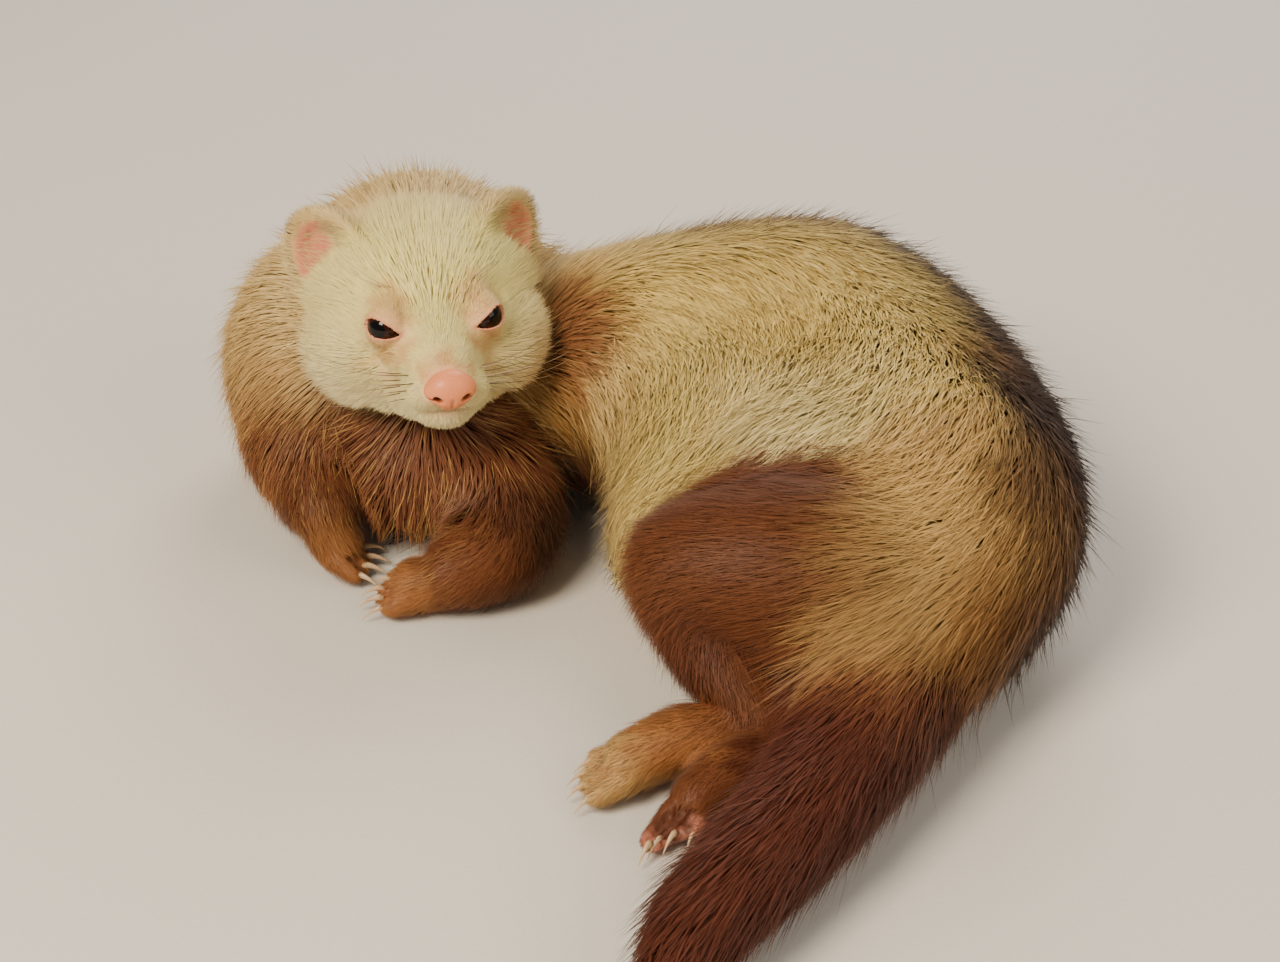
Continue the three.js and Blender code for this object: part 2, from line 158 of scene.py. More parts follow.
# The flesh is one skin over the trunk, neck, head, limbs and tail. It is shaped over round forms strung
# along the animal, each with its radius out to the tips of the coat and the depth of the coat there.
NAPE = (-60, 60, 60, 30)
HUMP = (-64, 86, 50, 43)
SCAPULA = (-66, 74, 36, 34)
TAIL_ROOT = (55, -81, 23, 25)
STRINGS = {
    "neck": [(-57, 32, 72, 24, 5), (*NAPE, 7), (*HUMP, 9)],
    "spine": [
        (*SCAPULA, 9), (-24, 70, 36, 35, 8), (1, 63, 41, 40, 8), (43, 64, 43, 44, 8.5),
        (56, 57, 42, 43.5, 9), (68, 28, 41, 43, 9), (74, -3, 41, 43, 9), (76, -23, 41, 41, 9),
        (69, -40, 34, 38, 10), (59, -61, 27, 30, 12),
    ],
    "tail": [
        (59, -61, 27, 30, 12), (*TAIL_ROOT, 12), (45, -103, 21, 22, 11.5), (30, -127, 19, 20, 11),
        (18, -142, 17, 18.5, 10.5), (9, -157, 14, 15, 9), (4, -171, 11, 8, 5.5),
    ],
    "thigh": [
        (60, -48, 42, 31, 7), (44, -49, 43, 28, 6), (29, -48, 44, 23.5, 6), (14, -44, 43, 18, 5.5),
        (8, -40, 43, 13, 5),
    ],
    "shank_left": [(12, -44, 38, 17, 5), (20, -60, 26, 14, 4), (30, -71, 17, 10, 2.5)],
    "shank_right": [(52, -56, 18, 13, 4), (40, -72, 12, 11, 2.5)],
    "foreleg_left": [(-36, 22, 20, 18, 5.5), (-38, 7, 16, 15, 4), (-47, 0, 13, 12.5, 2.5)],
    "foreleg_right": [(-92, 44, 28, 19, 5.5), (-91, 34, 25, 15, 4), (-89, 24, 20, 12, 2.5)],
}
MASSES = {
    "chest": [
        (*HUMP, 9), (-77, 74, 37, 48, 9), (-60, 43, 28, 31, 8), (-42, 31, 23, 23, 6),
        (-92, 46, 26, 24, 6.5),
    ],
    "flank": [
        (25, 20, 37, 37, 8), (16, -14, 31, 28, 8), (21, 3, 35, 32, 8), (14, 42, 40, 36.5, 8),
        (40, 38, 41, 38, 8.5), (50, 8, 40, 37.5, 8.5), (46, -18, 40, 36, 8),
    ],
}
# A foot is its sole and its four toes, each a string of its own that fans out from the middle.
TOES = (-1.5, -0.5, 0.5, 1.5)
FEET = {
    "forepaw_left": (
        [(-48, -2, 11.5, 9.5, 1.8), (-60, -1.5, 8.5, 8.5, 1.5)],
        [[(-61, -1.5 + 3 * k, 7, 4.6, 1), (-68.5 + 0.8 * k * k, -0.5 + 4.3 * k, 5, 4, 0.8)] for k in TOES],
    ),
    "forepaw_right": (
        [(-88, 21, 17, 9, 1.8), (-84, 18, 9, 8, 1.5)],
        [[(-84, 17 + 3 * k, 7.5, 4.2, 1), (-78 - 0.6 * k * k, 17 + 4.4 * k, 4.6, 3.6, 0.8)] for k in TOES],
    ),
    "hindfoot_left": (
        [(32, -70, 14, 9, 2), (12, -77, 12.5, 9.5, 2), (-1, -82, 9.5, 8.5, 1.6)],
        [[(-2, -82 + 3.6 * k, 8, 4.6, 1.2), (-11.5 + 0.8 * k * k, -84 + 4.6 * k, 5.5, 4, 1)] for k in TOES],
    ),
    "hindfoot_right": (
        [(40, -80, 11, 9, 2), (24, -87, 10, 9, 1.6), (14, -96, 8.5, 7.5, 1)],
        [
            [(13 - 3 * k, -97 - 1.5 * k, 7, 4.2, 0.6), (7 - 3.6 * k + 0.6 * k**2, -105 - 2 * k, 5, 3.6, 0.5)]
            for k in TOES
        ],
    ),
}
# The forms of the head are ovals in its own frame: a place, three radii and the depth of the coat. Those
# beside the middle come in pairs.
SKULL_FORMS = [
    ((0, -13, 3), (32, 27, 22), 3.6),
    ((15, -2, -8), (18, 21, 17), 3.2),
    ((0, 4, -2), (17.5, 17.5, 17), 2),
    ((0, 12, -3), (15, 15, 14.5), 1.5),
    ((0, 19, -4), (12, 12, 11.8), 1.1),
    ((0, 25, -4), (9.2, 9.2, 8.8), 0.8),
    ((9, 5, 8), (8.5, 9, 6.6), 1.4),
    ((4.9, 26.3, -7.6), (7.4, 8.4, 6), 0.8),
    ((0, 2, -15), (11, 12, 10), 2.5),
    ((0, 13, -14), (10.5, 11, 8.6), 1.6),
    ((0, 20.6, -14.8), (10, 12.3, 6.3), 0.9),
    ((10.8, 10.6, 4.6), (9, 9, 7.8), 1.2),
    ((8.5, 9, -14.5), (11, 12.5, 8), 2),
    ((5, 15.5, -14.8), (9, 10, 6.8), 1.2),
]
SKULL = [
    ((side * x, y, z), radii, depth)
    for (x, y, z), radii, depth in SKULL_FORMS
    for side in ((1, -1) if x else (1,))
]
BODY_GRAIN = 1.3


def smooth_string(stations, pace=0.16):
    """Beads of place, radius and depth along a smooth curve through the stations."""
    knots = np.array(stations, float)
    padded = np.vstack([2 * knots[0] - knots[1], knots, 2 * knots[-1] - knots[-2]])
    beads = []
    for a, b, c, d in zip(padded, padded[1:], padded[2:], padded[3:]):
        steps = max(2, math.ceil(np.linalg.norm(c[:3] - b[:3]) / (pace * (b[3] - b[4]))))
        square, cube = 2 * a - 5 * b + 4 * c - d, 3 * b - a - 3 * c + d
        for s in np.arange(steps) / steps:
            beads.append(0.5 * (2 * b + (c - a) * s + square * s**2 + cube * s**3))
    return np.array([*beads, knots[-1]])


strings = {name: smooth_string(stations) for name, stations in STRINGS.items()}
for name, (sole, toes) in FEET.items():
    strings[name] = smooth_string(sole)
    for i, toe in enumerate(toes):
        strings[f"{name}_toe_{i}"] = smooth_string(toe)

carriers = strings | {name: np.array(masses, float) for name, masses in MASSES.items()}
forms = []


def add_form(at, radii, turn=0):
    bpy.ops.mesh.primitive_ico_sphere_add(
        subdivisions=3, radius=MM, location=placed(at), rotation=(0, 0, turn), scale=radii
    )
    forms.append(bpy.context.object)


bpy.ops.object.select_all(action="DESELECT")
for beads in carriers.values():
    for x, y, z, radius, depth in beads:
        add_form((x, y, z), [radius - depth] * 3)
for at, radii, depth in SKULL:
    add_form(from_head(at), [r - depth for r in radii], HEAD.to_euler().z)
for form in forms:
    form.select_set(True)
bpy.ops.object.join()
skin = bpy.context.object
skin.name = "skin"
bpy.ops.object.transform_apply(location=True, rotation=True, scale=True)
remesh = skin.modifiers.new("one surface", "REMESH")
remesh.mode = "VOXEL"
remesh.voxel_size = BODY_GRAIN * MM
bpy.ops.object.modifier_apply(modifier=remesh.name)


def read_rows(items, name, width=3, kind=float):
    """One property of many small parts of a mesh, as a row for each."""
    flat = np.empty(width * len(items), kind)
    items.foreach_get(name, flat)
    return flat.reshape(-1, width)


def read_places(mesh):
    return read_rows(mesh.vertices, "co") / MM - np.array(shift)


def write_places(mesh, points):
    mesh.vertices.foreach_set("co", placed(points).ravel())
    mesh.update()


def read_normals(mesh):
    return read_rows(mesh.vertices, "normal")


def gap_to(points, places, radii):
    """The least distance of each point to round forms, and which form it is."""
    best = np.full(len(points), 1e9)
    which = np.zeros(len(points), int)
    for i, (place, radius) in enumerate(zip(places, radii)):
        away = np.linalg.norm(points - place, axis=1) - radius
        nearer = away < best
        best[nearer] = away[nearer]
        which[nearer] = i
    return best, which


def soften(rounds, weight):
    """A smooth modifier that acts where the weight is, applied at once."""
    group = skin.vertex_groups.new(name="soft")
    steps = np.round(np.clip(weight, 0, 1) * 10).astype(int)
    for step in range(1, 11):
        group.add(np.flatnonzero(steps == step).tolist(), step / 10, "REPLACE")
    smooth = skin.modifiers.new("soft", "SMOOTH")
    smooth.factor = 0.6
    smooth.iterations = rounds
    smooth.vertex_group = "soft"
    bpy.ops.object.modifier_apply(modifier=smooth.name)
    skin.vertex_groups.remove(skin.vertex_groups["soft"])


places = read_places(skin.data)
in_head = to_head(places)
head_away = np.linalg.norm(in_head / (30, 36, 24), axis=1)
foot_beads = np.vstack([beads for name, beads in strings.items() if "paw" in name or "foot" in name])
foot_away, _ = gap_to(places, foot_beads[:, :3], foot_beads[:, 3] - foot_beads[:, 4])
weight = np.clip(foot_away / 8, 0.1, 1) * np.where(head_away < 1, 0.4, 1)
soften(30, weight)
soften(150, np.clip(foot_away / 30 - 0.3, 0, 1) * np.clip(2 * head_away - 2.4, 0, 1))

# The face and feet are divided finer before they are worked, and the muzzle and eyes finer still.
FACE_MIDDLE = (0, 18, -2)
for foot_reach, face_reach in ((1.35, 26), (0, 17)):
    places = read_places(skin.data)
    finer = np.linalg.norm(to_head(places) - FACE_MIDDLE, axis=1) < face_reach
    if foot_reach:
        foot_away, _ = gap_to(places, foot_beads[:, :3], foot_beads[:, 3] - foot_beads[:, 4])
        finer |= foot_away < foot_reach
    skin.data.vertices.foreach_set("select", finer)
    skin.data.update()
    bpy.ops.object.mode_set(mode="EDIT")
    bpy.ops.mesh.select_mode(type="VERT")
    bpy.ops.mesh.subdivide(number_cuts=1)
    bpy.ops.mesh.select_all(action="DESELECT")
    bpy.ops.object.mode_set(mode="OBJECT")
    in_head = to_head(read_places(skin.data))
    soften(4, np.clip(1.5 - np.linalg.norm(in_head - FACE_MIDDLE, axis=1) / 26, 0, 1))

# Each eye lies under lids of the skin's own thickness, which open as an almond, and the mouth is a crease
# from under the nose back along each lip.
EYE_RADIUS = 5.3
EYE_SUNK = 1.2
EYE_FACING = Vector((0.66, 0.72, 0.22)).normalized()
LID = 0.9
THIN_LID = 0.55
UNDER_LID = 1.2
EYE_REGION = 13
BEHIND_EYE = -3
OPENING = (4.3, 2.5)
INNER_CORNER = 5.5
OPENING_TILT = math.radians(-9)
MOUTH = [(0, 33.4, -12), (4, 32.5, -12.5), (8, 29, -12.6), (10.5, 25, -12.4)]


def eye_axes(sign):
    """The eye's centre and the directions across, up and out of it, in the head's frame."""
    out = Vector((sign * EYE_FACING.x, EYE_FACING.y, EYE_FACING.z))
    across = Vector((0, 0, 1)).cross(out).normalized()
    up = out.cross(across)
    tilt = sign * OPENING_TILT
    turned = across * math.cos(tilt) + up * math.sin(tilt)
    centre = Vector((sign * EYE_AT.x, EYE_AT.y, EYE_AT.z)) - out * EYE_SUNK
    return centre, turned, out.cross(turned), out


def blend_step(value, start, end):
    share = np.clip((value - start) / (end - start), 0, 1)
    return share * share * (3 - 2 * share)


def lid_ring(points, sign):
    """0 in the middle of an eye's opening and 1 along the rims of its lids."""
    centre, across, up, out = (np.array(v) for v in eye_axes(sign))
    inward, rise = sign * (points - centre) @ across, (points - centre) @ up
    corner = np.clip(inward / INNER_CORNER, 0, 1)
    wide = np.where(inward > 0, INNER_CORNER, OPENING[0])
    high = OPENING[1] * (1 - 0.4 * corner**3) * np.where(rise < 0, 0.88, 1)
    return np.hypot(inward / wide, rise / high)


in_head = to_head(read_places(skin.data))
for sign in HANDS.values():
    centre, across, up, out = (np.array(v) for v in eye_axes(sign))
    near = np.linalg.norm(in_head - centre, axis=1) < EYE_REGION
    near &= (in_head - centre) @ out > BEHIND_EYE
    local = in_head[near] - centre
    a, b, c = local @ across, local @ up, local @ out
    span = np.hypot(a, b)
    ring = lid_ring(in_head[near], sign)
    shell = np.sqrt(np.clip((EYE_RADIUS + LID) ** 2 - span**2, 0, None))
    hidden = np.sqrt(np.clip((EYE_RADIUS - UNDER_LID) ** 2 - span**2, 0, None))
    away_from_lid = blend_step(ring, 1.04, 1.8)
    lid_height = np.maximum(shell, np.minimum(c, 2.8)) * (1 - away_from_lid) + c * away_from_lid
    edge = blend_step(ring, 0.9, 1.04)
    lifted = hidden * (1 - edge) + lid_height * edge
    in_head[near] += (lifted - c)[:, None] * out
mouth_curve = np.array([p for a, b in zip(MOUTH, MOUTH[1:]) for p in np.linspace(a, b, 12)])
mouth_curve = np.vstack([mouth_curve, mouth_curve * (-1, 1, 1)])
nearest = [np.linalg.norm(in_head - point, axis=1).argmin() for point in mouth_curve]
mouth_curve = in_head[nearest]
write_places(skin.data, from_head(in_head))
rings = np.minimum(*(lid_ring(in_head, sign) for sign in HANDS.values()))
beside_eye = np.linalg.norm(np.abs(in_head) - np.abs(np.array(EYE_AT)), axis=1) < EYE_REGION
soften(50, beside_eye * blend_step(rings, 1.3, 1.9) * 0.9)
in_head = to_head(read_places(skin.data))
for sign in HANDS.values():
    centre, across, up, out = (np.array(v) for v in eye_axes(sign))
    local = in_head - centre
    span, height = np.hypot(local @ across, local @ up), local @ out
    over_ball = np.sqrt(np.clip((EYE_RADIUS + THIN_LID) ** 2 - span**2, 0, None))
    low = (lid_ring(in_head, sign) > 1.04) & (span < EYE_RADIUS + THIN_LID)
    low &= (height > BEHIND_EYE) & (height < over_ball)
    in_head[low] += (over_ball - height)[low, None] * out
write_places(skin.data, from_head(in_head))
mouth_away, _ = gap_to(in_head, mouth_curve, np.zeros(len(mouth_curve)))
normals = read_normals(skin.data)
places = read_places(skin.data)
TOE_CLEFT = 2.1
LIP_CLEFT = 1.3
SKIN_LOWEST = 0.3
toe_gaps = []
for sole, toes in FEET.values():
    for first, second in zip(toes, toes[1:]):
        start, end = ((np.array(a[:3]) + np.array(b[:3])) / 2 for a, b in zip(first, second))
        for share in np.linspace(0.6, 1.9, 9):
            toe_gaps.append(start + (end - start) * share + (0, 0, 3.6 - 1.2 * share))
toe_gaps = np.array(toe_gaps)
gap_away, _ = gap_to(places, toe_gaps, np.full(len(toe_gaps), 1.0))
places -= (TOE_CLEFT * np.exp(-(np.maximum(gap_away, 0) ** 2)))[:, None] * normals
places -= (LIP_CLEFT * np.exp(-((mouth_away / 0.85) ** 2)))[:, None] * normals
places[:, 2] = np.maximum(places[:, 2], SKIN_LOWEST)
write_places(skin.data, places)


# Each ear is a thin round leaf of skin that stands up and opens forward as a cup, with a rolled rim and
# a small fold at its inner foot. It grows out of the skin of the head.
EAR_AT = (24.2, -13, 14)
EAR_RADII = (12.2, 4.8, 13.8)
EAR_TURN = (0.1, 0.35, 0.62)
EAR_WALL = 1.1


def ear_matrix(sign):
    pitch, roll, yaw = EAR_TURN
    turn = Matrix.Rotation(-sign * yaw, 4, "Z") @ Matrix.Rotation(sign * roll, 4, "Y")
    turn = turn @ Matrix.Rotation(pitch, 4, "X")
    return HEAD @ Matrix.Translation((sign * EAR_AT[0], EAR_AT[1], EAR_AT[2])) @ turn


def make_ear(sign):
    bpy.ops.object.select_all(action="DESELECT")
    bpy.ops.mesh.primitive_uv_sphere_add(segments=64, ring_count=40, radius=1, rotation=(math.pi / 2, 0, 0))
    ear = bpy.context.object
    bpy.ops.object.transform_apply(rotation=True)
    unit = read_rows(ear.data.vertices, "co")
    leaf = unit * EAR_RADII
    spread = np.hypot(unit[:, 0], unit[:, 2])
    front = unit[:, 1] > 0
    depth = blend_step(spread, 0.97, 0.55)
    back = -EAR_RADII[1] * np.sqrt(np.clip(1 - spread**2, 0, 1)) * 0.62 + EAR_WALL
    fold = 1.5 * np.exp(-(((unit[:, 0] * sign + 0.35) / 0.13) ** 2) - ((unit[:, 2] + 0.35) / 0.35) ** 2)
    leaf[front, 1] = (leaf[:, 1] * 0.5 * (1 - depth) + (back + fold) * depth)[front]
    leaf[:, 1] -= 2.2 * unit[:, 0] ** 2 * 0.5
    matrix = np.array(ear_matrix(sign))
    write_places(ear.data, leaf @ matrix[:3, :3].T + matrix[:3, 3])
    return ear


ears = [make_ear(sign) for sign in HANDS.values()]
bpy.ops.object.select_all(action="DESELECT")
for piece in [*ears, skin]:
    piece.select_set(True)
bpy.context.view_layer.objects.active = skin
bpy.ops.object.join()
bpy.ops.object.mode_set(mode="EDIT")
bpy.ops.mesh.select_all(action="SELECT")
bpy.ops.uv.smart_project(angle_limit=math.radians(66), island_margin=0.001)
bpy.ops.object.mode_set(mode="OBJECT")
skin.data.uv_layers[0].name = "OFBake"
bpy.ops.object.shade_smooth()

# The coat's markings are a pale face and flanks, a golden brown ruff and hip, brown legs and thighs, and a
# dark back and tail. Each tone has the colour of the wool, of its tips and of the long guard hairs, and
# the patches say where each tone lies and how far it reaches. The darkest tone is no marking but painted
# shade in the cleft between the front and the trunk.
TONES = {
    "face": ("fbec8c", "fcf09e", "f4e28e"),
    "cheek": ("ead89e", "f2e4b0", "e2d098"),
    "crown": ("dcc080", "e6cc90", "b08a4e"),
    "eye_ring": ("dc9a60", "e6b272", "d09a60"),
    "tan": ("be9a5c", "dcc080", "94683a"),
    "ruff": ("8e5e30", "bf9350", "ead092"),
    "chest": ("5e3220", "7c4a2a", "dcb062"),
    "foreleg": ("6c3a20", "8c5430", "5a2e18"),
    "paw": ("96582e", "b47c46", "8a5028"),
    "cream": ("dfc068", "e6ca78", "5c3818"),
    "pale": ("d2b868", "d9c278", "8a6834"),
    "bright": ("f4dc92", "f6e4a4", "94703a"),
    "saddle": ("b0803e", "8c5626", "38200f"),
    "back": ("502818", "3e1d10", "281408"),
    "thigh": ("66321b", "70401f", "522a14"),
    "shank": ("522610", "5e2e14", "44220e"),
    "hip": ("d2b072", "c8a260", "6e4622"),
    "tail": ("4e2010", "5b2a16", "44200f"),
    "toe": ("b0804a", "dcb674", "8a5a30"),
    "pad": ("b8705a", "c07c60", "b8705a"),
    # This very dark tone is painted shade for the cleft between the front and the trunk.
    "cleft_shade": ("38190a", "4a2410", "4a2410"),
}
HEAD_PATCHES = {
    "face": [(0, 16, 4, 22), (0, 0, 14, 24), (26, -4, 4, 12), (-24, -4, 6, 12)],
    "cheek": [(20, 2, -12, 17), (-18, 4, -12, 14), (0, 22, -14, 13)],
    "tan": [
        # The three tan patches on the head's left side, x from -30 to -25, are partly the cheek's tan and
        # partly painted shade on the side away from the key light.
        (-30, 0, -6, 11), (-29, -10, 6, 9), (-25, 10, -8, 9), (30, -8, -12, 10), (27, -4, -22, 9),
        (0, -36, 6, 16),
    ],
    "ruff": [(-26, 2, -19, 8), (-23, 9, -16, 8)],
    "crown": [(31, -8, 2, 12), (0, -26, 20, 15), (18, -26, 12, 14), (-18, -26, 12, 14)],
    "eye_ring": [
        (12.5, 15, 9.5, 6.5), (-12.5, 15, 9.5, 6.5), (13, 19, 1.5, 5), (-13, 19, 1.5, 5),
        (0, 33, 1.5, 5),
    ],
}
PATCHES = {
    "crown": [(-62, 66, 92, 24), (-90, 48, 66, 16), (-97, 54, 74, 15)],
    "tan": [
        (-64, 100, 80, 28), (-100, 76, 70, 30), (-30, 84, 70, 24), (-112, 50, 60, 16),
        # The tan patch at (-8, 26, 52) on the trunk's front edge is partly tan coat and partly painted shade
        # along that edge.
        (-12, 84, 68, 14), (-8, 26, 52, 12), (-12, 6, 44, 10), (-8, 72, 72, 11),
    ],
    "ruff": [(-118, 66, 34, 28), (-102, 46, 56, 12), (-28, 43, 46, 14)],
    "chest": [
        (-112, 38, 30, 20), (-109, 40, 42, 14), (-82, 22, 28, 24), (-60, 12, 32, 24), (-44, 22, 38, 16),
        # The chest patch at (-22, 46, 54) is painted shade at the top of the cleft between front and trunk.
        (-22, 46, 54, 9),
    ],
    # Painted shade: these patches darken the cleft between the front and the trunk.
    "cleft_shade": [(-33, 10, 26, 10), (-17, 40, 26, 14)],
    "foreleg": [
        # The foreleg patch at (-16, 50, 58) is painted shade at the top of the cleft between front and
        # trunk.
        (-16, 50, 58, 13), (-92, 30, 22, 10), (-40, 4, 14, 13), (22, -72, 20, 11), (14, -98, 10, 9),
        (60, -82, 34, 10),
    ],
    "paw": [(-84, 15, 9, 12), (-64, -1, 7, 9), (8, -80, 14, 12)],
    "saddle": [
        (12, 96, 62, 18), (40, 98, 68, 18), (92, 8, 80, 12), (100, -38, 54, 16), (88, -60, 40, 16),
    ],
    "back": [
        (20, 112, 36, 28), (58, 106, 48, 28), (80, 76, 74, 14), (97, 34, 68, 12), (102, -4, 60, 13),
        (91, -2, 72, 9), (93, -36, 62, 9), (94, 70, 56, 24), (88, 50, 77, 12), (106, 44, 54, 26),
        (108, 4, 56, 24), (116, -20, 44, 26), (104, -56, 26, 16),
    ],
    "hip": [(78, -26, 72, 12), (-6, 2, 28, 16), (84, -44, 62, 18), (68, -66, 56, 16), (58, -76, 42, 9)],
    "cream": [
        (-4, 62, 72, 14), (12, 44, 76, 24), (36, 54, 84, 22), (62, 40, 84, 20), (64, 4, 84, 22),
        (46, 16, 76, 24), (74, -10, 80, 14),
    ],
    "pale": [(14, 14, 66, 24), (4, -6, 46, 20)],
    "bright": [(54, -6, 72, 17), (34, 2, 68, 14)],
    "thigh": [
        (46, -48, 64, 12), (30, -46, 64, 13), (12, -46, 56, 15), (10, -56, 44, 16), (34, -66, 46, 18),
        (54, -64, 52, 14),
    ],
    "shank": [(12, -66, 27, 13), (44, -74, 12, 12)],
    "toe": [(-8, -84, 8, 11)],
    "tail": [
        (54, -93, 34, 11), (44, -104, 28, 24), (30, -128, 24, 24), (14, -148, 18, 24),
        (74, -86, 16, 20), (4, -172, 10, 20),
    ],
}
PAD_TOES = np.array([[station[:3] for station in toe] for toe in FEET["hindfoot_right"][1]])
PAD_PLACES = PAD_TOES[:, 1] + 0.3 * (PAD_TOES[:, 1] - PAD_TOES[:, 0])
PATCHES["pad"] = [(*place, 2.2) for place in PAD_PLACES]
FLESH = colour("e3ae90")
BARE_PINK = colour("de8c6c")


def patch_weights(points, patches):
    weights = []
    for x, y, z, reach in sum(patches.values(), []):
        away = np.linalg.norm(points - (x, y, z), axis=1)
        weights.append(np.exp(-((away / reach) ** 3)) / reach + 1e-9)
    return np.array(weights)


def marking(points):
    """The colours of the wool, its tips and the guard hairs at each place, with painted shade in the grooves
    between the toes.
    """
    ragged = points + 2.2 * np.sin(points[:, [1, 2, 0]] * 0.9 + 3 * np.sin(points[:, [2, 0, 1]] * 0.31))
    head_share = 1 - blend_step(np.linalg.norm(to_head(points) / (34, 38, 27), axis=1), 0.92, 1.12)
    weights = np.vstack([
        patch_weights(to_head(ragged), HEAD_PATCHES) * head_share + 1e-12,
        patch_weights(ragged, PATCHES) * (1 - head_share) + 1e-12,
    ])
    weights /= weights.sum(axis=0)
    names = [tone for table in (HEAD_PATCHES, PATCHES) for tone, spots in table.items() for _ in spots]
    tones = np.array([[colour(code)[:3] for code in TONES[name]] for name in names])
    # Painted shade: skin and coat are darkened in the grooves between the toes.
    gap_away, _ = gap_to(points, toe_gaps, np.full(len(toe_gaps), 0.7))
    shade = 1 - 0.35 * np.exp(-((np.maximum(gap_away, 0) / 1.1) ** 2))
    return np.einsum("pn,ptc->ntc", weights, tones) * shade[:, None, None]


def grain_group():
    """Fine streaks that vary a colour, its gloss and its relief, for skin and coat alike."""
    group = bpy.data.node_groups.new("fine streaks", "ShaderNodeTree")
    sockets = {"INPUT": ("Color", "Scale", "Strength"), "OUTPUT": ("Color", "Roughness", "Height")}
    for way, names in sockets.items():
        for name in names:
            kind = "NodeSocketColor" if name == "Color" else "NodeSocketFloat"
            group.interface.new_socket(name, in_out=way, socket_type=kind)
    nodes, links = group.nodes, group.links
    given, result = nodes.new("NodeGroupInput"), nodes.new("NodeGroupOutput")
    coordinates = nodes.new("ShaderNodeTexCoord")
    noise = nodes.new("ShaderNodeTexNoise")
    noise.inputs["Detail"].default_value = 3
    links.new(coordinates.outputs["Object"], noise.inputs["Vector"])
    links.new(given.outputs["Scale"], noise.inputs["Scale"])
    value = nodes.new("ShaderNodeMapRange")
    value.inputs["To Min"].default_value = 0.72
    value.inputs["To Max"].default_value = 1.28
    links.new(noise.outputs["Fac"], value.inputs["Value"])
    shaded = nodes.new("ShaderNodeHueSaturation")
    links.new(value.outputs["Result"], shaded.inputs["Value"])
    links.new(given.outputs["Strength"], shaded.inputs["Fac"])
    links.new(given.outputs["Color"], shaded.inputs["Color"])
    gloss = nodes.new("ShaderNodeMapRange")
    gloss.inputs["To Min"].default_value = 0.42
    gloss.inputs["To Max"].default_value = 0.68
    links.new(noise.outputs["Fac"], gloss.inputs["Value"])
    links.new(shaded.outputs["Color"], result.inputs["Color"])
    links.new(gloss.outputs["Result"], result.inputs["Roughness"])
    links.new(noise.outputs["Fac"], result.inputs["Height"])
    return group


streaks = grain_group()


def streaked_material(name, scale, strength, relief):
    material, nodes, links = new_material(name)
    shader = nodes["Principled BSDF"]
    tone = nodes.new("ShaderNodeAttribute")
    tone.attribute_name = "tone"
    grain = nodes.new("ShaderNodeGroup")
    grain.node_tree = streaks
    grain.inputs["Scale"].default_value = scale
    grain.inputs["Strength"].default_value = strength
    bump = nodes.new("ShaderNodeBump")
    bump.inputs["Strength"].default_value = relief
    bump.inputs["Distance"].default_value = 0.0003
    links.new(tone.outputs["Color"], grain.inputs["Color"])
    links.new(grain.outputs["Color"], shader.inputs["Base Color"])
    links.new(grain.outputs["Roughness"], shader.inputs["Roughness"])
    links.new(grain.outputs["Height"], bump.inputs["Height"])
    links.new(bump.outputs["Normal"], shader.inputs["Normal"])
    return material, shader


def write_tone(mesh, colours):
    tone = mesh.color_attributes.new("tone", "FLOAT_COLOR", "POINT")
    tone.data.foreach_set("color", np.column_stack([colours, np.ones(len(colours))]).ravel())


def ear_local(points, sign):
    inverse = np.array(ear_matrix(sign).inverted())
    return points @ inverse[:3, :3].T + inverse[:3, 3]


def ear_cup(points):
    """How far each place lies in the bare cup of an ear, from 0 to 1."""
    share = np.zeros(len(points))
    for sign in HANDS.values():
        local = ear_local(points, sign)
        beside, above = sign * local[:, 0] / EAR_RADII[0], local[:, 2] / EAR_RADII[2]
        spread = np.hypot(beside, above)
        inside = (1 - blend_step(spread, 0.76, 0.97)) * (local[:, 1] > -3.2) * (local[:, 1] < 4.5)
        inside *= blend_step(beside - 0.2 * above, -0.65, -0.2)
        share = np.maximum(share, inside)
    return share


EAR_FRONT = np.array(HEAD.to_3x3() @ Vector((0, 1, 0)))
places = read_places(skin.data)
in_head = to_head(places)
normals = read_normals(skin.data)
wool = marking(places)[:, 0] * 0.95
bare = ear_cup(places) * (normals @ EAR_FRONT > 0.1)
for sign in HANDS.values():
    centre = np.array(eye_axes(sign)[0])
    rim = lid_ring(in_head, sign)
    by_eye = np.linalg.norm(in_head - centre, axis=1) < 9
    bare = np.maximum(bare, 0.75 * (1 - blend_step(rim, 1.02, 1.34)) * by_eye)
mouth_away, _ = gap_to(in_head, mouth_curve, np.zeros(len(mouth_curve)))
lip_and_crease_shade = np.exp(-((mouth_away / 0.95) ** 2))
flesh_share = np.where(np.linalg.norm(in_head / (30, 38, 26), axis=1) < 1, 0.45, 0.0)[:, None]
tone = wool * (1 - flesh_share) + np.array(FLESH[:3]) * flesh_share
tone = tone * (1 - bare[:, None]) + np.array(BARE_PINK[:3]) * bare[:, None]
# The mouth crease is darkened toward dark brownish pink: partly the lips' own colour, partly painted shade
# in the crease.
tone = tone * (1 - 0.85 * lip_and_crease_shade[:, None]) + np.array(colour("5e3028")[:3]) * 0.85 * lip_and_crease_shade[:, None]
write_tone(skin.data, tone)
skin_material, skin_shader = streaked_material("skin", 900, 0.6, 0.5)
skin_shader.inputs["Subsurface Weight"].default_value = 0.15
skin_shader.inputs["Subsurface Radius"].default_value = (0.003, 0.0012, 0.0008)
skin.data.materials.clear()
skin.data.materials.append(skin_material)
FLESH_NODES = [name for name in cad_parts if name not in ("eye_left", "eye_right", "nose")]
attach(skin, "root")
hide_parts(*FLESH_NODES)


